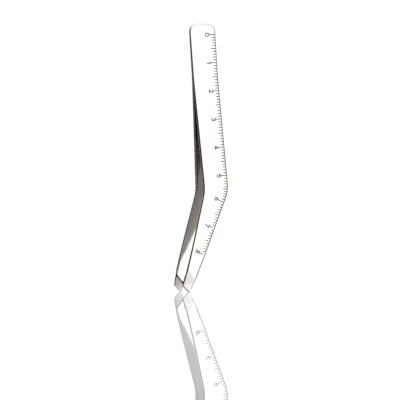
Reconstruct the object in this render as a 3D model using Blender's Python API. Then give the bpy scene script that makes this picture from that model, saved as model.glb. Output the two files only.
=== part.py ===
"""Cranked tweezers with slanted tips: two spring steel leaves welded together at the butt.

The leaves stand upright with their tips down. X runs across a leaf, Y runs from the front leaf
to the rear leaf, and Z points up. The origin is the middle of the butt's top end.
"""
import math

import bmesh
import bpy
from mathutils import Vector

MM = 0.001

# Heights are measured up from the lowest point of the tips.
HEIGHT = 94.5 * MM
HINGE_HEIGHT = 72.0 * MM

# Corners of a leaf's outline (across, height), from the tip to the butt, and their radii.
TIP_LEFT = (-8.32 * MM, 2.2 * MM)
TIP_RIGHT = (-5.69 * MM, -0.32 * MM)
TIP_RADIUS = 0.44 * MM
KNEE_LEFT = (0.17 * MM, 35.5 * MM)
KNEE_RIGHT = (9.38 * MM, 35.5 * MM)
KNEE_RADIUS_LEFT = 14.0 * MM
KNEE_RADIUS_RIGHT = 11.0 * MM
BUTT_LEFT = (-4.16 * MM, HEIGHT)
BUTT_RIGHT = (5.62 * MM, HEIGHT)
BUTT_RADIUS = 2.8 * MM

# Distance of a leaf's outer face from the middle plane: height, distance, rounding of the bend.
OUTER_FACE = (
    (1.0 * MM, 3.62 * MM, 0.0),
    (6.2 * MM, 5.15 * MM, 0.8 * MM),
    (16.0 * MM, 5.12 * MM, 4.0 * MM),
    (37.5 * MM, 4.00 * MM, 5.0 * MM),
    (75.5 * MM, 0.86 * MM, 2.5 * MM),
    (HEIGHT, 0.62 * MM, 0.0),
)

# The same for the inner face, whose lowest stretch is the gripping pad.
INNER_FACE = (
    (1.0 * MM, 3.20 * MM, 0.0),
    (4.0 * MM, 3.33 * MM, 0.2 * MM),
    (5.6 * MM, 4.05 * MM, 0.6 * MM),
    (16.0 * MM, 3.90 * MM, 3.0 * MM),
    (37.5 * MM, 2.72 * MM, 5.0 * MM),
    (60.0 * MM, 0.92 * MM, 4.0 * MM),
    (76.0 * MM, 0.05 * MM, 1.5 * MM),
    (HEIGHT, 0.05 * MM, 0.0),
)

EDGE_CHAMFER = 0.14 * MM

# Steps in the leaf's mesh: round each corner, and along the straight runs between corners.
TIP_STEPS = 3
KNEE_STEPS = 8
BUTT_STEPS = 6
LOWER_LIMB_STEPS = 22
UPPER_LIMB_STEPS = 26

# The weld is a flat nugget with round ends, sunk in a pocket in each leaf.
WELD_LENGTH = 12.0 * MM
WELD_WIDTH = 4.0 * MM
WELD_THICKNESS = 0.6 * MM
WELD_HEIGHT = 85.5 * MM
WELD_CLEARANCE = 0.05 * MM
WELD_END_STEPS = 10

STEEL_COLOUR = (0.78, 0.78, 0.79, 1.0)
WELD_COLOUR = (0.45, 0.44, 0.43, 1.0)


def clear_scene():
    """Remove every object that the scene starts with."""
    for item in list(bpy.data.objects):
        bpy.data.objects.remove(item, do_unlink=True)


def steel(name, colour, roughness):
    """A metal material."""
    material = bpy.data.materials.new(name)
    material.use_nodes = True
    shader = material.node_tree.nodes["Principled BSDF"]
    shader.inputs["Base Color"].default_value = colour
    shader.inputs["Metallic"].default_value = 1.0
    shader.inputs["Roughness"].default_value = roughness
    material.diffuse_color = colour
    return material


def corner_arc(before, corner, after, radius, steps):
    """Points of the arc that rounds a corner, from the side of `before` to the side of `after`."""
    corner = Vector(corner)
    towards_before = (Vector(before) - corner).normalized()
    towards_after = (Vector(after) - corner).normalized()
    half_angle = towards_before.angle(towards_after) / 2
    run = radius / math.tan(half_angle)
    middle = (towards_before + towards_after).normalized()
    centre = corner + middle * (radius / math.sin(half_angle))
    first = corner + towards_before * run - centre
    last = corner + towards_after * run - centre
    sweep = first.angle(last)
    points = []
    for step in range(steps + 1):
        share = step / steps
        along_first = math.sin((1 - share) * sweep) / math.sin(sweep)
        along_last = math.sin(share * sweep) / math.sin(sweep)
        points.append(centre + first * along_first + last * along_last)
    return points


def edge_line(corners, radii):
    """One long edge of the leaf, from the tip's end to the butt's end, with rounded corners."""
    steps = (TIP_STEPS, KNEE_STEPS, BUTT_STEPS)
    runs = (LOWER_LIMB_STEPS, UPPER_LIMB_STEPS)
    arcs = [
        corner_arc(corners[i], corners[i + 1], corners[i + 2], radii[i], steps[i])
        for i in range(len(steps))
    ]
    points = list(arcs[0])
    for arc, run in zip(arcs[1:], runs):
        start = points[-1]
        points += [start.lerp(arc[0], step / run) for step in range(1, run)]
        points += arc
    return points


def leaf_edges():
    """The left and right edges, with the same number of points on each."""
    tip_middle = (Vector(TIP_LEFT) + Vector(TIP_RIGHT)) / 2
    butt_middle = (Vector(BUTT_LEFT) + Vector(BUTT_RIGHT)) / 2
    left = edge_line(
        (tip_middle, TIP_LEFT, KNEE_LEFT, BUTT_LEFT, butt_middle),
        (TIP_RADIUS, KNEE_RADIUS_LEFT, BUTT_RADIUS),
    )
    right = edge_line(
        (tip_middle, TIP_RIGHT, KNEE_RIGHT, BUTT_RIGHT, butt_middle),
        (TIP_RADIUS, KNEE_RADIUS_RIGHT, BUTT_RADIUS),
    )
    return left, right


def profile(bends, height):
    """Distance from the middle plane at a height, with each bend rounded by a parabola."""
    slopes = [
        (high[1] - low[1]) / (high[0] - low[0]) for low, high in zip(bends, bends[1:])
    ]
    distance = bends[0][1] + slopes[0] * (height - bends[0][0])
    for (bend, _, rounding), before, after in zip(bends[1:-1], slopes, slopes[1:]):
        past = height - bend
        if past >= rounding:
            distance += (after - before) * past
        elif past > -rounding:
            distance += (after - before) * (past + rounding) ** 2 / (4 * rounding)
    return distance


def inset_outline(outline, inset):
    """Move each point of a closed outline inwards by the inset."""
    moved = []
    for index, point in enumerate(outline):
        ahead = outline[(index + 1) % len(outline)]
        behind = outline[index - 1]
        tangent = ((ahead - point).normalized() + (point - behind).normalized()).normalized()
        moved.append(point + Vector((tangent.y, -tangent.x)) * inset)
    return moved


def leaf_mesh(name, side):
    """The mesh of one leaf. Side is -1 for the front leaf and 1 for the rear leaf."""
    left, right = leaf_edges()
    outline = left + right[::-1]
    middle_heights = [(a.y + b.y) / 2 for a, b in zip(left, right)]
    heights = middle_heights + middle_heights[::-1]
    inset = inset_outline(outline, EDGE_CHAMFER)
    rings = (
        (inset, OUTER_FACE, 0.0),
        (outline, OUTER_FACE, -EDGE_CHAMFER),
        (outline, INNER_FACE, EDGE_CHAMFER),
        (inset, INNER_FACE, 0.0),
    )
    model = bmesh.new()
    loops = []
    for points, bends, shift in rings:
        loop = []
        for point, height in zip(points, heights):
            distance = profile(bends, height) + shift
            place = (point.x, side * distance, point.y - HINGE_HEIGHT)
            loop.append(model.verts.new(place))
        loops.append(loop)
    count = len(outline)
    for above, below in zip(loops, loops[1:]):
        for index in range(count):
            ahead = (index + 1) % count
            model.faces.new((above[index], above[ahead], below[ahead], below[index]))
    for loop in (loops[0], loops[-1]):
        for index in range(len(left) - 1):
            across = count - 1 - index
            model.faces.new((loop[index], loop[index + 1], loop[across - 1], loop[across]))
    bmesh.ops.recalc_face_normals(model, faces=model.faces)
    bmesh.ops.triangulate(model, faces=model.faces)
    mesh = bpy.data.meshes.new(name)
    model.to_mesh(mesh)
    model.free()
    return mesh


def weld_mesh(name, grow):
    """A flat bar with round ends, lying in the XZ plane and larger by `grow` on every side."""
    radius = WELD_WIDTH / 2 + grow
    reach = (WELD_LENGTH - WELD_WIDTH) / 2
    half_thickness = WELD_THICKNESS / 2 + grow
    model = bmesh.new()
    loop = []
    for end in (1, -1):
        for step in range(WELD_END_STEPS + 1):
            angle = math.pi * step / WELD_END_STEPS
            across = end * radius * math.cos(angle)
            along = end * (reach + radius * math.sin(angle))
            loop.append(model.verts.new((across, -half_thickness, along)))
    front = model.faces.new(loop)
    body = bmesh.ops.extrude_face_region(model, geom=[front])
    moved = [item for item in body["geom"] if isinstance(item, bmesh.types.BMVert)]
    bmesh.ops.translate(model, verts=moved, vec=(0.0, 2 * half_thickness, 0.0))
    bmesh.ops.recalc_face_normals(model, faces=model.faces)
    mesh = bpy.data.meshes.new(name)
    model.to_mesh(mesh)
    model.free()
    return mesh


def place(name, mesh, material, height):
    """Put a mesh in the scene, its origin at a height above the tips, and shade it smooth."""
    item = bpy.data.objects.new(name, mesh)
    item.location = (0.0, 0.0, height - HEIGHT)
    mesh.materials.append(material)
    mesh.shade_smooth()
    mesh.set_sharp_from_angle(angle=math.radians(30))
    bpy.context.scene.collection.objects.link(item)
    return item


def weld_centre():
    """How far across the leaf the middle of the weld is."""
    return (BUTT_LEFT[0] + BUTT_RIGHT[0]) / 2 + 0.6 * MM


def add_pocket(arm, cutter):
    """Sink the weld's pocket into a leaf."""
    cut = arm.modifiers.new("weld_pocket", "BOOLEAN")
    cut.operation = "DIFFERENCE"
    cut.solver = "EXACT"
    cut.object = cutter


def build():
    """Model the two leaves and the weld that joins them."""
    clear_scene()
    weld = place(
        "butt_weld", weld_mesh("butt_weld", 0.0), steel("weld_steel", WELD_COLOUR, 0.5), WELD_HEIGHT
    )
    weld.location.x = weld_centre()
    cutter = place(
        "pocket_cutter",
        weld_mesh("pocket_cutter", WELD_CLEARANCE),
        steel("pocket_cutter", WELD_COLOUR, 0.5),
        WELD_HEIGHT,
    )
    cutter.location.x = weld_centre()
    cutter.hide_render = True
    cutter.display_type = "WIRE"
    for name, side in (("front_arm", -1), ("rear_arm", 1)):
        arm = place(
            name, leaf_mesh(name, side), steel(name + "_steel", STEEL_COLOUR, 0.25), HINGE_HEIGHT
        )
        add_pocket(arm, cutter)


build()
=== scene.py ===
"""Looks of the cranked slant-tip tweezers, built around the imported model.

Lengths are in metres. X runs across a leaf, Y from the front leaf to the rear leaf, Z up.
The leaves' own heights are measured up from the lowest point of the tips.
"""
import math

import bmesh
import bpy
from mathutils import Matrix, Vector
from mathutils.bvhtree import BVHTree


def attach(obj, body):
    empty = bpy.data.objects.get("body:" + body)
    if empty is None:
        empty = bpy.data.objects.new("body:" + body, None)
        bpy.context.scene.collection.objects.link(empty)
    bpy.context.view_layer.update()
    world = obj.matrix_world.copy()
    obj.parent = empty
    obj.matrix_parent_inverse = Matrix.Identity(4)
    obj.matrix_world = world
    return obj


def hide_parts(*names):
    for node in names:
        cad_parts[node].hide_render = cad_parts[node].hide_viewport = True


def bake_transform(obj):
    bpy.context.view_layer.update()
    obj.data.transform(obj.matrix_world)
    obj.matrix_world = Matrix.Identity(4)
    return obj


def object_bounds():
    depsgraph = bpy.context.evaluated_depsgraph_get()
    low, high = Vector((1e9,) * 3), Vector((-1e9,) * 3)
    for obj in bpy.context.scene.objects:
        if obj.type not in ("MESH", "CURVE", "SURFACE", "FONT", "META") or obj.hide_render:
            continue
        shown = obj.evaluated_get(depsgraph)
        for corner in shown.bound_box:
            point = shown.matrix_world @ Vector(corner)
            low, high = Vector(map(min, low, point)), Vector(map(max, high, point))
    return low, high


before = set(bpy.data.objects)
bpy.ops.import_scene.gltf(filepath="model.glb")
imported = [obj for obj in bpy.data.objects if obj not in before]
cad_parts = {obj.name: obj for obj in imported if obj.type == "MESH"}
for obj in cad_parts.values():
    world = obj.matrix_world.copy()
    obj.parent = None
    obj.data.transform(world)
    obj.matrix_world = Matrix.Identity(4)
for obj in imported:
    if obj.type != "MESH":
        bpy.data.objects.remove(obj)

CAD_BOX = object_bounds()

MM = 0.001
FLOOR = CAD_BOX[0][2]
HEIGHT = CAD_BOX[1][2] - CAD_BOX[0][2]

# The view: turned to the left of square to a leaf, level, from a long way off. VIEW_WIDTH is how
# much it takes in at the object.
VIEW_TURN = math.radians(-25.0)
VIEW_HEIGHT = 32.3 * MM
VIEW_SIDESTEP = 0.08 * MM
VIEW_DISTANCE = 0.80
VIEW_WIDTH = 0.1413
SENSOR_WIDTH = 36.0
VIEW_CLIP = (0.01, 50.0)

# Corners of a leaf's outline (across, height), from the tip to the butt, and their radii.
TIP_LEFT = (-8.32 * MM, 2.2 * MM)
TIP_RIGHT = (-5.69 * MM, -0.32 * MM)
TIP_RADIUS = 0.44 * MM
KNEE_LEFT = (0.17 * MM, 35.5 * MM)
KNEE_RIGHT = (9.38 * MM, 35.5 * MM)
KNEE_RADIUS_LEFT = 14.0 * MM
KNEE_RADIUS_RIGHT = 11.0 * MM
BUTT_LEFT = (-4.16 * MM, HEIGHT)
BUTT_RIGHT = (5.62 * MM, HEIGHT)
BUTT_RADIUS = 2.8 * MM

# Distance of a leaf's outer face from the middle plane: height, distance, rounding of the bend.
OUTER_FACE = (
    (1.0 * MM, 3.80 * MM, 0.0),
    (6.2 * MM, 5.15 * MM, 0.5 * MM),
    (16.0 * MM, 5.12 * MM, 4.0 * MM),
    (37.5 * MM, 4.00 * MM, 5.0 * MM),
    (75.5 * MM, 0.86 * MM, 2.5 * MM),
    (HEIGHT, 0.62 * MM, 0.0),
)

# The same for the inner face above the gripping pad.
INNER_FACE = (
    (1.0 * MM, 3.67 * MM, 0.0),
    (5.5 * MM, 3.74 * MM, 1.0 * MM),
    (16.0 * MM, 3.92 * MM, 3.0 * MM),
    (37.5 * MM, 2.72 * MM, 5.0 * MM),
    (60.0 * MM, 0.92 * MM, 4.0 * MM),
    (76.0 * MM, 0.03 * MM, 1.5 * MM),
    (HEIGHT, 0.03 * MM, 0.0),
)

# The gripping pad: a ground flat with fine cross ridges. A sloping shoulder ends it above.
# The pad's distance from the middle plane is PAD_TIP, and PAD_LEAN times the height more. Its end
# runs through PAD_CORNER at PAD_SLOPE. It stands proud of the inner face, and PAD_RELIEF is the
# most of that which counts in the thickness that the edges are rounded by.
PAD_TIP = 3.20 * MM
PAD_LEAN = 0.0445
PAD_CORNER = (-7.49 * MM, 5.44 * MM)
PAD_SLOPE = -1.22
SHOULDER_RUN = 0.68 * MM
PAD_RELIEF = 0.36 * MM
RIDGE_PITCH = 0.30 * MM
RIDGE_DEPTH = 0.06 * MM

# The inner face is ground very slightly hollow across the leaf. This is its depth in the middle.
HOLLOW = 0.06 * MM

# Rounding of the edges next to the outer face, at the left and right, and next to the inner face.
# The shares limit each rounding to a part of the leaf's thickness.
OUTER_RADIUS_LEFT = 0.22 * MM
OUTER_RADIUS_RIGHT = 0.38 * MM
TIP_EXTRA_RADIUS = 0.20 * MM
INNER_RADIUS = 0.10 * MM
OUTER_SHARE = 0.46
INNER_SHARE = 0.17
EDGE_STEPS = 5
COLUMNS = 12
SHARP_ANGLE = math.radians(40.0)

# Steps in a leaf's mesh: round each corner, and along the straight runs between corners.
TIP_STEPS = 6
KNEE_STEPS = 18
BUTT_STEPS = 12
PAD_STEPS = 60
SHOULDER_STEPS = 14
LOWER_LIMB_STEPS = 60
UPPER_LIMB_STEPS = 70

# The fused sheet that closes the joint between the leaves at the butt.
SEAM_BOTTOM = 79.0 * MM
SEAM_INSET = 0.20 * MM
SEAM_HALF_THICKNESS = 0.025 * MM

# The rule along the front leaf's right edge. A tick's length goes by the millimetres it divides.
# TICK_WRAP says where a tick bends over the edge's rounding, in shares of the rounding.
RULE_START = 90.95 * MM
RULE_LENGTH_MM = 80
TICK_WIDTH = 0.30 * MM
TICK_LENGTHS = {10: 2.5 * MM, 5: 2.1 * MM, 1: 1.5 * MM}
TICK_WRAP = (0.12, 0.3, 0.55, 0.8, 1.05)
NUMERAL_HEIGHT = 1.75 * MM
NUMERAL_WIDTH = 1.45 * MM
NUMERAL_CENTRE = 3.3 * MM
STROKE_WIDTH = 0.34 * MM
CAP_ANGLES = (25.0, 50.0, 75.0)
ARC_STEPS = 14
OVAL_STEPS = 28
SMALL_OVAL_STEPS = 24
MARK_RISE = 0.004 * MM
MARK_DEPTH = 0.02 * MM

# Marks on the leaf's mesh: the pad, which is rougher and painted lighter and pinker as a painted
# reflection, and painted shade, near-black and dull, where the leaf lies in shade: the pad's
# shoulder, the tip's cut end and the left edge beside the pad. The pad's mark ends, and the
# shoulder's painted shade runs, at these shares of the shoulder's run.
PAD_MARK = "pad_share"
PAINTED_SHADE_MARK = "painted_shade_share"
PAD_MARK_END = 0.02
PAINTED_SHADE_RUN = (0.04, 0.97)
CUT_END_DEPTH = 0.25 * MM

STEEL_WARM = (0.485, 0.455, 0.432, 1.0)
STEEL_COOL = (0.50, 0.475, 0.455, 1.0)
STEEL_ROUGHNESS = (0.07, 0.14)
# The pad's colour is a painted reflection: steel painted lighter and pinker than the rest. Its
# rougher finish below is its own.
PAD_PAINTED_SHEEN_COLOUR = (0.62, 0.575, 0.578, 1.0)
PAD_ROUGHNESS = 0.40
# Painted shade: near-black, dull steel for the pad's shoulder, the tip's cut end and the left edge
# beside the pad.
PAINTED_SHADE_COLOUR = (0.02, 0.019, 0.0185, 1.0)
PAINTED_SHADE_ROUGHNESS = 0.55
POLISH_BUMP_STRENGTH = 0.04
POLISH_BUMP_DISTANCE = 0.02 * MM
INK_DARK = (0.015, 0.015, 0.016, 1.0)
INK_LIGHT = (0.05, 0.05, 0.052, 1.0)
INK_ROUGHNESS = 0.55
WELD_DARK = (0.30, 0.29, 0.28, 1.0)
WELD_LIGHT = (0.50, 0.49, 0.47, 1.0)
WELD_ROUGHNESS = (0.35, 0.6)
WHITE = (1.0, 1.0, 1.0, 1.0)

# Noise in the metals: its stretch in X, Y and Z, its scale and its detail. Its values mostly lie
# in NOISE_SPAN.
POLISH_LINES = ((900.0, 900.0, 18.0), 6.0, 4.0)
STEEL_CLOUDS = ((1.0, 1.0, 0.5), 260.0, 3.0)
INK_SPECKLE = ((1.0, 1.0, 1.0), 9000.0, 2.0)
WELD_GRAIN = ((1.0, 1.0, 1.0), 4000.0, 4.0)
NOISE_SPAN = (0.3, 0.7)
EVEN_SPAN = (0.0, 1.0)

# The light that the object alone sees, by compass direction in degrees, anticlockwise from +X.
SKY = (
    (-180.0, 0.06),
    (-119.0, 0.06),
    (-111.0, 2.3),
    (-58.0, 2.3),
    (-54.0, 0.06),
    (18.0, 0.06),
    (26.0, 0.75),
    (60.0, 0.75),
    (75.0, 1.4),
    (103.0, 1.4),
    (109.0, 0.06),
    (180.0, 0.06),
)
SKY_TOP = 2.5
SKY_RADIUS = 2.0

# The share of that light that is left, by elevation in degrees.
SKY_DIMMING = (
    (-90.0, 0.86),
    (-26.5, 0.86),
    (-24.0, 0.70),
    (-20.0, 0.70),
    (-14.0, 1.0),
    (90.0, 1.0),
)

# The least light from below and the light from overhead, and the elevations where they fade.
SKY_BELOW = 0.85
SKY_BELOW_FADE = (-24.0, -14.0)
SKY_OVERHEAD = 1.0
SKY_OVERHEAD_FADE = (40.0, 60.0)

# The white room and its floor, which show behind the object.
ROOM_GLOW = 1.02
ROOM_RADIUS = 4.0
FLOOR_REACH = 4.0
FLOOR_MIRROR = 0.57
FLOOR_ROUGHNESS = 0.006
DOME_SEGMENTS = (48, 24)


def corner_arc(before, corner, after, radius, steps):
    """Points of the arc that rounds a corner, from the side of `before` to the side of `after`."""
    corner = Vector(corner)
    towards_before = (Vector(before) - corner).normalized()
    towards_after = (Vector(after) - corner).normalized()
    half_angle = towards_before.angle(towards_after) / 2
    run = radius / math.tan(half_angle)
    middle = (towards_before + towards_after).normalized()
    centre = corner + middle * (radius / math.sin(half_angle))
    first = corner + towards_before * run - centre
    last = corner + towards_after * run - centre
    sweep = first.angle(last)
    points = []
    for step in range(steps + 1):
        share = step / steps
        along_first = math.sin((1 - share) * sweep) / math.sin(sweep)
        along_last = math.sin(share * sweep) / math.sin(sweep)
        points.append(centre + first * along_first + last * along_last)
    return points


def above_pad(point):
    """How far a point (across, height) lies above the pad's sloping end, square to it."""
    rise = point[1] - PAD_CORNER[1] - PAD_SLOPE * (point[0] - PAD_CORNER[0])
    return rise / math.hypot(1.0, PAD_SLOPE)


def even_shares(start, end, steps):
    """Shares from just after the start up to the end, in even steps."""
    return [start + (end - start) * step / steps for step in range(1, steps + 1)]


def lower_limb_shares(start, end):
    """Shares along the lower limb, close together on the pad and its shoulder."""
    first = above_pad(start)
    run = above_pad(end) - first
    pad_end = -first / run
    shoulder_end = (SHOULDER_RUN - first) / run
    shares = even_shares(0.0, pad_end, PAD_STEPS)
    shares += even_shares(pad_end, shoulder_end, SHOULDER_STEPS)
    return shares + even_shares(shoulder_end, 1.0, LOWER_LIMB_STEPS)[:-1]


def edge_line(corners, radii):
    """One long edge of the leaf, from the tip's end to the butt's end, with rounded corners."""
    steps = (TIP_STEPS, KNEE_STEPS, BUTT_STEPS)
    tip, knee, butt = [
        corner_arc(corners[i], corners[i + 1], corners[i + 2], radii[i], steps[i])
        for i in range(len(steps))
    ]
    lower = [tip[-1].lerp(knee[0], share) for share in lower_limb_shares(tip[-1], knee[0])]
    upper_shares = even_shares(0.0, 1.0, UPPER_LIMB_STEPS)[:-1]
    upper = [knee[-1].lerp(butt[0], share) for share in upper_shares]
    return tip + lower + knee + upper + butt


def leaf_edges():
    """The left and right edges, with the same number of points on each."""
    tip_middle = (Vector(TIP_LEFT) + Vector(TIP_RIGHT)) / 2
    butt_middle = (Vector(BUTT_LEFT) + Vector(BUTT_RIGHT)) / 2
    left = edge_line(
        (tip_middle, TIP_LEFT, KNEE_LEFT, BUTT_LEFT, butt_middle),
        (TIP_RADIUS, KNEE_RADIUS_LEFT, BUTT_RADIUS),
    )
    right = edge_line(
        (tip_middle, TIP_RIGHT, KNEE_RIGHT, BUTT_RIGHT, butt_middle),
        (TIP_RADIUS, KNEE_RADIUS_RIGHT, BUTT_RADIUS),
    )
    return left, right


def profile(bends, height):
    """Distance from the middle plane at a height, with each bend rounded by a parabola."""
    slopes = [
        (high[1] - low[1]) / (high[0] - low[0]) for low, high in zip(bends, bends[1:])
    ]
    distance = bends[0][1] + slopes[0] * (height - bends[0][0])
    for (bend, _, rounding), before, after in zip(bends[1:-1], slopes, slopes[1:]):
        past = height - bend
        if past >= rounding:
            distance += (after - before) * past
        elif past > -rounding:
            distance += (after - before) * (past + rounding) ** 2 / (4 * rounding)
    return distance


def outer_distance(height, point, share):
    """Distance of the outer face from the middle plane. It is the same all the way across."""
    return profile(OUTER_FACE, height)


def inner_distance(height, point, share):
    """Distance of the inner face from the middle plane, with the pad, its ridges and shoulder."""
    limb = profile(INNER_FACE, height) + HOLLOW * 4 * share * (1 - share)
    pad = PAD_TIP + PAD_LEAN * height
    past = above_pad(point)
    if past < 0:
        ridge = abs((past / RIDGE_PITCH) % 1.0 - 0.5) * 2
        return pad + RIDGE_DEPTH * (1 - ridge)
    climb = min(past / SHOULDER_RUN, 1.0)
    smooth = climb * climb * (3 - 2 * climb)
    return pad + (limb - pad) * smooth


def thickness(height):
    """The leaf's thickness at a height, leaving out the pad's shoulder and ridges."""
    pad = PAD_TIP + PAD_LEAN * height
    inner = max(min(profile(INNER_FACE, height), pad), profile(INNER_FACE, height) - PAD_RELIEF)
    return profile(OUTER_FACE, height) - inner


def outer_radius(height, share):
    """Rounding next to the outer face, wider on the right and widest there near the tip."""
    near_tip = max(0.0, 1.0 - height / KNEE_RIGHT[1])
    right = OUTER_RADIUS_RIGHT + TIP_EXTRA_RADIUS * near_tip
    radius = OUTER_RADIUS_LEFT + (right - OUTER_RADIUS_LEFT) * share
    return min(radius, OUTER_SHARE * thickness(height))


def inner_radius(height):
    """Rounding next to the inner face."""
    return min(INNER_RADIUS, INNER_SHARE * thickness(height))


def inwards(outline):
    """The inward direction at each point of a closed outline."""
    directions = []
    for index, point in enumerate(outline):
        ahead = outline[(index + 1) % len(outline)]
        behind = outline[index - 1]
        tangent = ((ahead - point).normalized() + (point - behind).normalized()).normalized()
        directions.append(Vector((tangent.y, -tangent.x)))
    return directions


def leaf_rim(left, right):
    """The leaf's closed outline as (point, station height, share of the way across)."""
    middles = [(a.y + b.y) / 2 for a, b in zip(left, right)]
    shares = [column / COLUMNS for column in range(1, COLUMNS)]
    rim = [(point, height, 0.0) for point, height in zip(left, middles)]
    rim += [(left[-1].lerp(right[-1], share), middles[-1], share) for share in shares]
    rim += [(point, height, 1.0) for point, height in zip(right[::-1], middles[::-1])]
    rim += [(left[0].lerp(right[0], share), middles[0], share) for share in shares[::-1]]
    return rim


def is_painted_shade_edge(point, share):
    """Whether an outline point gets painted shade: on the tip's cut end, or on the left edge
    beside the pad.
    """
    across = (Vector(TIP_RIGHT) - Vector(TIP_LEFT)).normalized()
    above_end = (point - Vector(TIP_LEFT)).dot(Vector((-across.y, across.x)))
    return above_end < CUT_END_DEPTH or (share == 0.0 and above_pad(point) < 0)


def mesh_of(name, model):
    """A mesh made from a bmesh, which is freed."""
    mesh = bpy.data.meshes.new(name)
    model.to_mesh(mesh)
    model.free()
    return mesh


class Leaf:
    """A leaf with rounded edges. Side is -1 for the front leaf and 1 for the rear leaf."""

    def __init__(self, side):
        self.side = side
        self.left, self.right = leaf_edges()
        self.rim = leaf_rim(self.left, self.right)
        self.directions = inwards([point for point, _, _ in self.rim])
        self.model = bmesh.new()
        self.pad_layer = self.model.verts.layers.float.new(PAD_MARK)
        self.painted_shade_layer = self.model.verts.layers.float.new(PAINTED_SHADE_MARK)

    def add(self, point, distance, inner, painted_shade=False):
        """A vertex at a distance from the middle plane, with its marks."""
        vertex = self.model.verts.new((point.x, self.side * distance, point.y + FLOOR))
        # Painted shade where asked. On the inner face, the pad's mark, and painted shade on the
        # pad's shoulder.
        if painted_shade:
            vertex[self.painted_shade_layer] = 1.0
        elif inner:
            past = above_pad(point) / SHOULDER_RUN
            vertex[self.pad_layer] = 1.0 if past < PAD_MARK_END else 0.0
            on_shoulder = PAINTED_SHADE_RUN[0] < past < PAINTED_SHADE_RUN[1]
            vertex[self.painted_shade_layer] = 1.0 if on_shoulder else 0.0
        return vertex

    def rim_ring(self, inner, angle):
        """The ring at an angle round the edge's quarter circle, 0 where it meets the face."""
        face = inner_distance if inner else outer_distance
        ring = []
        for (point, height, share), direction in zip(self.rim, self.directions):
            if inner:
                radius = inner_radius(height)
                sink = radius * (1 - math.cos(angle))
            else:
                radius = outer_radius(height, share)
                sink = -radius * (1 - math.cos(angle))
            place = point + direction * radius * (1 - math.sin(angle))
            # Painted shade on the rounding of the tip's cut end and of the left edge beside the
            # pad.
            painted_shade = angle > 0 and is_painted_shade_edge(point, share)
            ring.append(self.add(place, face(height, point, share) + sink, inner, painted_shade))
        return ring

    def face_rows(self, ring, inner):
        """The rows of vertices across a face, from the tip to the butt, ending on its ring."""
        face = inner_distance if inner else outer_distance
        stations = len(self.left)
        butt_right = stations + COLUMNS - 1
        tip_right = butt_right + stations - 1
        rows = [[ring[0]] + ring[tip_right + 1:][::-1] + [ring[tip_right]]]
        for index in range(1, stations - 1):
            first = ring[index]
            last = ring[tip_right - index]
            start = Vector((first.co.x, first.co.z - FLOOR))
            end = Vector((last.co.x, last.co.z - FLOOR))
            height = (self.left[index].y + self.right[index].y) / 2
            between = []
            for column in range(1, COLUMNS):
                share = column / COLUMNS
                spot = start.lerp(end, share)
                between.append(self.add(spot, face(height, spot, share), inner))
            rows.append([first] + between + [last])
        rows.append(ring[stations - 1:butt_right + 1])
        return rows

    def mesh(self, name):
        """The finished mesh. It can be made only once."""
        angles = [math.pi / 2 * step / EDGE_STEPS for step in range(EDGE_STEPS + 1)]
        rings = [self.rim_ring(False, angle) for angle in angles]
        rings += [self.rim_ring(True, angle) for angle in angles[::-1]]
        count = len(self.rim)
        for above, below in zip(rings, rings[1:]):
            for index in range(count):
                ahead = (index + 1) % count
                self.model.faces.new((above[index], above[ahead], below[ahead], below[index]))
        for ring, inner in ((rings[0], False), (rings[-1], True)):
            rows = self.face_rows(ring, inner)
            for low, high in zip(rows, rows[1:]):
                for column in range(COLUMNS):
                    corners = (low[column], low[column + 1], high[column + 1], high[column])
                    self.model.faces.new(corners)
        bmesh.ops.recalc_face_normals(self.model, faces=self.model.faces)
        mesh = mesh_of(name, self.model)
        mesh.shade_smooth()
        mesh.set_sharp_from_angle(angle=SHARP_ANGLE)
        return mesh


def add_piece(name, mesh, material):
    """Put a mesh in the scene with one material."""
    piece = bpy.data.objects.new(name, mesh)
    mesh.materials.clear()
    mesh.materials.append(material)
    bpy.context.scene.collection.objects.link(piece)
    return piece


def seam_mesh(name):
    """The fused sheet that closes the joint between the leaves, just inside their edges."""
    left, right = leaf_edges()
    pairs = [(a, b) for a, b in zip(left, right) if (a.y + b.y) / 2 > SEAM_BOTTOM]
    outline = [a for a, _ in pairs] + [b for _, b in reversed(pairs)]
    directions = inwards(outline)
    model = bmesh.new()
    loops = []
    for distance in (-SEAM_HALF_THICKNESS, SEAM_HALF_THICKNESS):
        loop = []
        for point, direction in zip(outline, directions):
            place = point + direction * SEAM_INSET
            loop.append(model.verts.new((place.x, distance, place.y + FLOOR)))
        loops.append(loop)
    front, back = loops
    count = len(outline)
    for index in range(count):
        ahead = (index + 1) % count
        model.faces.new((front[index], front[ahead], back[ahead], back[index]))
    for loop in loops:
        for index in range(len(pairs) - 1):
            across = count - 1 - index
            model.faces.new((loop[index], loop[index + 1], loop[across - 1], loop[across]))
    bmesh.ops.recalc_face_normals(model, faces=model.faces)
    return mesh_of(name, model)


class RuledEdge:
    """The front leaf's right edge, measured downwards from the rule's zero mark."""

    def __init__(self):
        _, right = leaf_edges()
        below = [point for point in reversed(right) if point.y < RULE_START]
        above = [point for point in right if point.y >= RULE_START][0]
        share = (above.y - RULE_START) / (above.y - below[0].y)
        self.points = [above.lerp(below[0], share)] + below

    def frame(self, distance):
        """The place, downward direction and inward direction at a distance along the edge."""
        left = distance
        for start, end in zip(self.points, self.points[1:]):
            run = (end - start).length
            if left <= run:
                along = (end - start).normalized()
                return start + along * left, along, Vector((along.y, -along.x))
            left -= run
        raise ValueError("the rule runs past the tip")


def tick_length(count):
    """How long the tick at a millimetre count is."""
    for step, length in TICK_LENGTHS.items():
        if count % step == 0:
            return length
    raise ValueError("no tick length")


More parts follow.
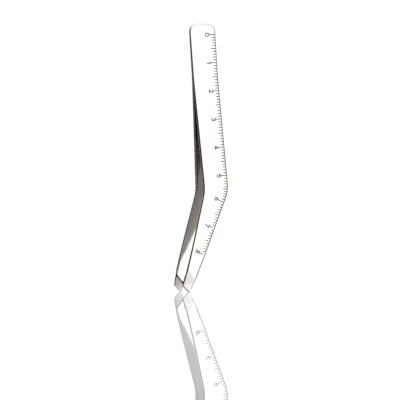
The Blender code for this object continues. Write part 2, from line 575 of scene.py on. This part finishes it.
def add_ribbon(model, pairs, surface, closed):
    """A thin inlay on the leaf's outer face between pairs of border points (across, height)."""
    rows = []
    for pair in pairs:
        row = []
        for spot in pair:
            depth = surface(spot)
            row.append(model.verts.new((spot.x, depth - MARK_RISE, spot.y + FLOOR)))
            row.append(model.verts.new((spot.x, depth + MARK_DEPTH, spot.y + FLOOR)))
        rows.append(row)
    following = rows[1:] + rows[:1] if closed else rows[1:]
    for first, last in zip(rows, following):
        model.faces.new((first[0], last[0], last[2], first[2]))
        model.faces.new((first[1], first[3], last[3], last[1]))
        model.faces.new((first[0], first[1], last[1], last[0]))
        model.faces.new((first[2], last[2], last[3], first[3]))
    if not closed:
        for row in (rows[0], rows[-1]):
            model.faces.new((row[0], row[2], row[3], row[1]))


def tick_marks_mesh(name, edge, surface):
    """The rule's lines, square to the edge and wrapped over its rounding."""
    model = bmesh.new()
    for count in range(RULE_LENGTH_MM + 1):
        place, along, inward = edge.frame(count * MM)
        half = along * TICK_WIDTH / 2
        length = tick_length(count)
        reaches = [OUTER_RADIUS_RIGHT * share for share in TICK_WRAP] + [length / 2, length]
        middles = [place + inward * reach for reach in reaches]
        pairs = [(middle - half, middle + half) for middle in middles]
        add_ribbon(model, pairs, surface, closed=False)
    bmesh.ops.recalc_face_normals(model, faces=model.faces)
    return mesh_of(name, model)


def arc(centre, radii, start, end, steps=ARC_STEPS):
    """Points round an ellipse between two angles in degrees."""
    points = []
    for step in range(steps + 1):
        angle = math.radians(start + (end - start) * step / steps)
        across = centre[0] + radii[0] * math.cos(angle)
        up = centre[1] + radii[1] * math.sin(angle)
        points.append((across, up))
    return points


def oval(centre, radii, steps=OVAL_STEPS):
    """Points all the way round an ellipse, from its top."""
    return arc(centre, radii, 90, 450, steps)[:-1]


def numeral_strokes():
    """Plain cutter strokes of the numerals 0 to 8 in a box 1 wide and 1 tall.

    Each stroke is its points and whether it closes on itself.
    """
    return {
        0: [(oval((0.5, 0.5), (0.5, 0.5)), True)],
        1: [([(0.6, 0.0), (0.6, 1.0)], False), ([(0.6, 1.0), (0.25, 0.74)], False)],
        2: [
            (arc((0.5, 0.68), (0.45, 0.32), 165, -35) + [(0.06, 0.0)], False),
            ([(0.06, 0.0), (0.97, 0.0)], False),
        ],
        3: [
            (arc((0.47, 0.75), (0.43, 0.25), 150, -90), False),
            (arc((0.47, 0.26), (0.48, 0.27), 90, -150), False),
        ],
        4: [
            ([(0.72, 0.0), (0.72, 1.0)], False),
            ([(0.72, 1.0), (0.03, 0.3)], False),
            ([(0.03, 0.3), (1.0, 0.3)], False),
        ],
        5: [
            ([(0.9, 1.0), (0.18, 1.0)], False),
            ([(0.18, 1.0), (0.12, 0.52)], False),
            (arc((0.48, 0.33), (0.46, 0.33), 145, -145), False),
        ],
        6: [
            (oval((0.5, 0.32), (0.46, 0.32)), True),
            (arc((0.86, 0.32), (0.82, 0.7), 180, 112), False),
        ],
        7: [([(0.03, 1.0), (0.95, 1.0)], False), ([(0.95, 1.0), (0.38, 0.0)], False)],
        8: [
            (oval((0.5, 0.755), (0.4, 0.245), SMALL_OVAL_STEPS), True),
            (oval((0.5, 0.265), (0.48, 0.265), SMALL_OVAL_STEPS), True),
        ],
    }


def cap_pairs(point, beyond, half):
    """Border points of a stroke's round end at a point, from the stroke outwards."""
    along = beyond.normalized()
    side = Vector((-along.y, along.x)) * half
    pairs = []
    for angle in CAP_ANGLES:
        middle = point + along * half * math.sin(math.radians(angle))
        reach = side * math.cos(math.radians(angle))
        pairs.append((middle - reach, middle + reach))
    return pairs


def stroke_pairs(points, closed):
    """Border points of a stroke of even width, with round ends where it is open."""
    half = STROKE_WIDTH / 2
    pairs = []
    count = len(points)
    for index, point in enumerate(points):
        ahead = points[(index + 1) % count] if closed else points[min(index + 1, count - 1)]
        behind = points[index - 1] if closed or index else points[0]
        along = (ahead - behind).normalized()
        side = Vector((-along.y, along.x)) * half
        pairs.append((point - side, point + side))
    if closed:
        return pairs
    first_cap = cap_pairs(points[0], points[0] - points[1], half)
    last_cap = cap_pairs(points[-1], points[-1] - points[-2], half)
    return [(b, a) for a, b in reversed(first_cap)] + pairs + last_cap


def numerals_mesh(name, edge, surface):
    """The rule's numbers, one each centimetre, their tops towards the ruled edge."""
    model = bmesh.new()
    wide = NUMERAL_WIDTH - STROKE_WIDTH
    tall = NUMERAL_HEIGHT - STROKE_WIDTH
    for number, strokes in numeral_strokes().items():
        place, along, inward = edge.frame(number * 10 * MM)
        centre = place + inward * NUMERAL_CENTRE
        for stroke, closed in strokes:
            points = [
                centre + along * (x - 0.5) * wide - inward * (y - 0.5) * tall for x, y in stroke
            ]
            add_ribbon(model, stroke_pairs(points, closed), surface, closed)
    bmesh.ops.recalc_face_normals(model, faces=model.faces)
    return mesh_of(name, model)


def outer_surface(leaf):
    """A function that gives the Y of the front leaf's outer face at (across, height)."""
    tree = BVHTree.FromObject(leaf, bpy.context.evaluated_depsgraph_get())
    well_in_front = -HEIGHT

    def depth(spot):
        start = Vector((spot.x, well_in_front, spot.y + FLOOR))
        hit = tree.ray_cast(start, Vector((0.0, 1.0, 0.0)))[0]
        return hit.y

    return depth


def new_material(name):
    """A material with its shader and its node tree."""
    material = bpy.data.materials.new(name)
    material.use_nodes = True
    tree = material.node_tree
    return material, tree, tree.nodes["Principled BSDF"]


def noise(tree, stretch, scale, detail):
    """Noise in the object's own space, stretched by the mapping scale."""
    place = tree.nodes.new("ShaderNodeTexCoord")
    mapping = tree.nodes.new("ShaderNodeMapping")
    mapping.inputs["Scale"].default_value = stretch
    texture = tree.nodes.new("ShaderNodeTexNoise")
    texture.inputs["Scale"].default_value = scale
    texture.inputs["Detail"].default_value = detail
    tree.links.new(place.outputs["Object"], mapping.inputs["Vector"])
    tree.links.new(mapping.outputs["Vector"], texture.inputs["Vector"])
    return texture.outputs["Fac"]


def mesh_mark(tree, name):
    """A mark stored on the mesh's points, 0 to 1."""
    node = tree.nodes.new("ShaderNodeAttribute")
    node.attribute_name = name
    return node.outputs["Fac"]


def remap(tree, value, before, after):
    """Map a value from one span to another, and hold it steady beyond."""
    node = tree.nodes.new("ShaderNodeMapRange")
    node.inputs["From Min"].default_value = before[0]
    node.inputs["From Max"].default_value = before[1]
    node.inputs["To Min"].default_value = after[0]
    node.inputs["To Max"].default_value = after[1]
    tree.links.new(value, node.inputs["Value"])
    return node.outputs["Result"]


def combine(tree, operation, first, second):
    """Combine two values that come from other nodes."""
    node = tree.nodes.new("ShaderNodeMath")
    node.operation = operation
    tree.links.new(first, node.inputs[0])
    tree.links.new(second, node.inputs[1])
    return node.outputs["Value"]


def blend(tree, kind, share, first, second):
    """Blend from first to second by a share. First may come from another node."""
    node = tree.nodes.new("ShaderNodeMix")
    node.data_type = kind
    if isinstance(first, bpy.types.NodeSocket):
        tree.links.new(first, node.inputs["A"])
    else:
        node.inputs["A"].default_value = first
    node.inputs["B"].default_value = second
    tree.links.new(share, node.inputs["Factor"])
    return node.outputs["Result"]


def polished_steel():
    """Stainless steel, satin polished along its length, with fine lines, faint stains, painted
    shade and a pad painted lighter as a painted reflection.
    """
    material, tree, shader = new_material("satin_steel")
    shader.inputs["Metallic"].default_value = 1.0
    lines = noise(tree, *POLISH_LINES)
    clouds = noise(tree, *STEEL_CLOUDS)
    pad = mesh_mark(tree, PAD_MARK)
    painted_shade = mesh_mark(tree, PAINTED_SHADE_MARK)
    tint = blend(tree, "RGBA", remap(tree, clouds, NOISE_SPAN, EVEN_SPAN), STEEL_WARM, STEEL_COOL)
    # Painted reflection: the pad painted lighter and pinker than the steel.
    tint = blend(tree, "RGBA", pad, tint, PAD_PAINTED_SHEEN_COLOUR)
    # Painted shade: near-black and dull on the pad's shoulder, the tip's cut end and the left edge
    # beside the pad.
    tint = blend(tree, "RGBA", painted_shade, tint, PAINTED_SHADE_COLOUR)
    tree.links.new(tint, shader.inputs["Base Color"])
    roughness = remap(tree, lines, NOISE_SPAN, STEEL_ROUGHNESS)
    roughness = blend(tree, "FLOAT", pad, roughness, PAD_ROUGHNESS)
    roughness = blend(tree, "FLOAT", painted_shade, roughness, PAINTED_SHADE_ROUGHNESS)
    tree.links.new(roughness, shader.inputs["Roughness"])
    bump = tree.nodes.new("ShaderNodeBump")
    bump.inputs["Strength"].default_value = POLISH_BUMP_STRENGTH
    bump.inputs["Distance"].default_value = POLISH_BUMP_DISTANCE
    tree.links.new(lines, bump.inputs["Height"])
    tree.links.new(bump.outputs["Normal"], shader.inputs["Normal"])
    return material


def etched_marks():
    """The dark matt etching of the rule."""
    material, tree, shader = new_material("etched_marks")
    shader.inputs["Roughness"].default_value = INK_ROUGHNESS
    speckle = remap(tree, noise(tree, *INK_SPECKLE), NOISE_SPAN, EVEN_SPAN)
    tree.links.new(blend(tree, "RGBA", speckle, INK_DARK, INK_LIGHT), shader.inputs["Base Color"])
    return material


def weld_metal():
    """The dull fused metal between the leaves."""
    material, tree, shader = new_material("weld_metal")
    shader.inputs["Metallic"].default_value = 1.0
    grain = noise(tree, *WELD_GRAIN)
    share = remap(tree, grain, NOISE_SPAN, EVEN_SPAN)
    tree.links.new(blend(tree, "RGBA", share, WELD_DARK, WELD_LIGHT), shader.inputs["Base Color"])
    tree.links.new(remap(tree, grain, NOISE_SPAN, WELD_ROUGHNESS), shader.inputs["Roughness"])
    return material


def glow_material(name, level, through):
    """A glowing white material, which light also passes through if asked."""
    material, tree, shader = new_material(name)
    tree.nodes.remove(shader)
    glow = tree.nodes.new("ShaderNodeEmission")
    glow.inputs["Color"].default_value = WHITE
    glow.inputs["Strength"].default_value = level
    result = glow.outputs["Emission"]
    if through:
        clear = tree.nodes.new("ShaderNodeBsdfTransparent")
        both = tree.nodes.new("ShaderNodeAddShader")
        tree.links.new(result, both.inputs[0])
        tree.links.new(clear.outputs["BSDF"], both.inputs[1])
        result = both.outputs["Shader"]
    tree.links.new(result, tree.nodes["Material Output"].inputs["Surface"])
    return material, tree, glow


def floor_material():
    """A white glossy sheet that half mirrors what stands on it."""
    material, tree, glow = glow_material("white_gloss", 1.0 - FLOOR_MIRROR, False)
    mirror = tree.nodes.new("ShaderNodeBsdfGlossy")
    mirror.inputs["Color"].default_value = (FLOOR_MIRROR, FLOOR_MIRROR, FLOOR_MIRROR, 1.0)
    mirror.inputs["Roughness"].default_value = FLOOR_ROUGHNESS
    both = tree.nodes.new("ShaderNodeAddShader")
    tree.links.new(glow.outputs["Emission"], both.inputs[0])
    tree.links.new(mirror.outputs["BSDF"], both.inputs[1])
    tree.links.new(both.outputs["Shader"], tree.nodes["Material Output"].inputs["Surface"])
    return material


def stepped(tree, value, stops):
    """A level that runs straight between stops of (value, level), both from 0 to 1.

    A new ramp already has two stops, which take the first two places.
    """
    ramp = tree.nodes.new("ShaderNodeValToRGB")
    elements = ramp.color_ramp.elements
    for index, (position, level) in enumerate(stops):
        stop = elements[index] if index < 2 else elements.new(position)
        stop.position = position
        stop.color = (level, level, level, 1.0)
    tree.links.new(value, ramp.inputs["Fac"])
    return ramp.outputs["Color"]


def sky_heights(angles):
    """The heights on the sky at elevations in degrees."""
    return [SKY_RADIUS * math.sin(math.radians(angle)) for angle in angles]


def sky_material():
    """Bright panels and dark walls by compass direction, over a pale floor, even overhead."""
    material, tree, glow = glow_material("studio_sky", SKY_TOP, True)
    place = tree.nodes.new("ShaderNodeTexCoord")
    parts = tree.nodes.new("ShaderNodeSeparateXYZ")
    tree.links.new(place.outputs["Object"], parts.inputs["Vector"])
    compass = combine(tree, "ARCTAN2", parts.outputs["Y"], parts.outputs["X"])
    turn = remap(tree, compass, (-math.pi, math.pi), EVEN_SPAN)
    around = stepped(
        tree, turn, [((degrees + 180.0) / 360.0, level / SKY_TOP) for degrees, level in SKY]
    )
    height = parts.outputs["Z"]
    lift = remap(tree, height, (-SKY_RADIUS, SKY_RADIUS), EVEN_SPAN)
    dimming = stepped(
        tree,
        lift,
        [((math.sin(math.radians(angle)) + 1.0) / 2, share) for angle, share in SKY_DIMMING],
    )
    level = combine(tree, "MULTIPLY", around, dimming)
    below = remap(tree, height, sky_heights(SKY_BELOW_FADE), (SKY_BELOW / SKY_TOP, 0.0))
    level = combine(tree, "MAXIMUM", level, below)
    overhead = remap(tree, height, sky_heights(SKY_OVERHEAD_FADE), EVEN_SPAN)
    level = blend(tree, "FLOAT", overhead, level, SKY_OVERHEAD / SKY_TOP)
    tree.links.new(level, glow.inputs["Color"])
    return material


def lights_only(emitter, name, receivers):
    """Let an emitter light only these objects."""
    group = bpy.data.collections.new(name)
    for receiver in receivers:
        group.objects.link(receiver)
    emitter.light_linking.receiver_collection = group


def add_dome(name, radius, material):
    """A sphere round the whole scene."""
    around, up = DOME_SEGMENTS
    model = bmesh.new()
    bmesh.ops.create_uvsphere(model, u_segments=around, v_segments=up, radius=radius)
    dome = add_piece(name, mesh_of(name, model), material)
    return dome


def add_floor():
    """The pale floor under the tips, which mirrors the object but doesn't show on it."""
    model = bmesh.new()
    bmesh.ops.create_grid(model, x_segments=2, y_segments=2, size=FLOOR_REACH)
    floor = add_piece("floor", mesh_of("floor", model), floor_material())
    floor.location.z = FLOOR
    floor.visible_glossy = False
    return floor


def light_scene(pieces):
    """A white room with a mirror floor, and for the object alone a sky of panels and walls."""
    world = bpy.data.worlds.new("studio")
    world.use_nodes = True
    world.node_tree.nodes["Background"].inputs["Strength"].default_value = 0.0
    bpy.context.scene.world = world
    floor = add_floor()
    white, _, _ = glow_material("white_room", ROOM_GLOW, False)
    room = add_dome("white_room", ROOM_RADIUS, white)
    lights_only(room, "room_receivers", [floor])
    sky = add_dome("studio_sky", SKY_RADIUS, sky_material())
    sky.visible_camera = False
    sky.visible_shadow = False
    lights_only(sky, "sky_receivers", pieces)


def add_camera():
    """A level view of the object from its front left."""
    data = bpy.data.cameras.new("camera")
    data.sensor_width = SENSOR_WIDTH
    data.lens = SENSOR_WIDTH * VIEW_DISTANCE / VIEW_WIDTH
    data.clip_start, data.clip_end = VIEW_CLIP
    camera = bpy.data.objects.new("camera", data)
    back = Vector((math.sin(VIEW_TURN), -math.cos(VIEW_TURN), 0.0))
    right = Vector((math.cos(VIEW_TURN), math.sin(VIEW_TURN), 0.0))
    target = Vector((0.0, 0.0, FLOOR + VIEW_HEIGHT)) + right * VIEW_SIDESTEP
    camera.location = target + back * VIEW_DISTANCE
    camera.rotation_euler = (-back).to_track_quat("-Z", "Y").to_euler()
    bpy.context.scene.collection.objects.link(camera)
    bpy.context.scene.camera = camera
    bpy.context.scene.view_settings.view_transform = "Standard"


def build():
    """Make every piece, light and camera."""
    add_camera()
    steel = polished_steel()
    leaves = {}
    for side, body, node, name in (
        (-1, "front_leaf", "front_arm", "front_leaf_steel"),
        (1, "rear_leaf", "rear_arm", "rear_leaf_steel"),
    ):
        leaf = add_piece(name, Leaf(side).mesh(name), steel)
        leaves[body] = leaf
        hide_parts(node)
    seam = add_piece("butt_seam", seam_mesh("butt_seam"), weld_metal())
    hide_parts("butt_weld")
    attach(seam, "butt")
    edge = RuledEdge()
    surface = outer_surface(leaves["front_leaf"])
    ink = etched_marks()
    marks = [
        add_piece("rule_lines", tick_marks_mesh("rule_lines", edge, surface), ink),
        add_piece("rule_numbers", numerals_mesh("rule_numbers", edge, surface), ink),
    ]
    for piece in [leaves["front_leaf"]] + marks:
        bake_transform(piece)
    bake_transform(leaves["rear_leaf"])
    light_scene(list(leaves.values()) + [seam] + marks)


build()
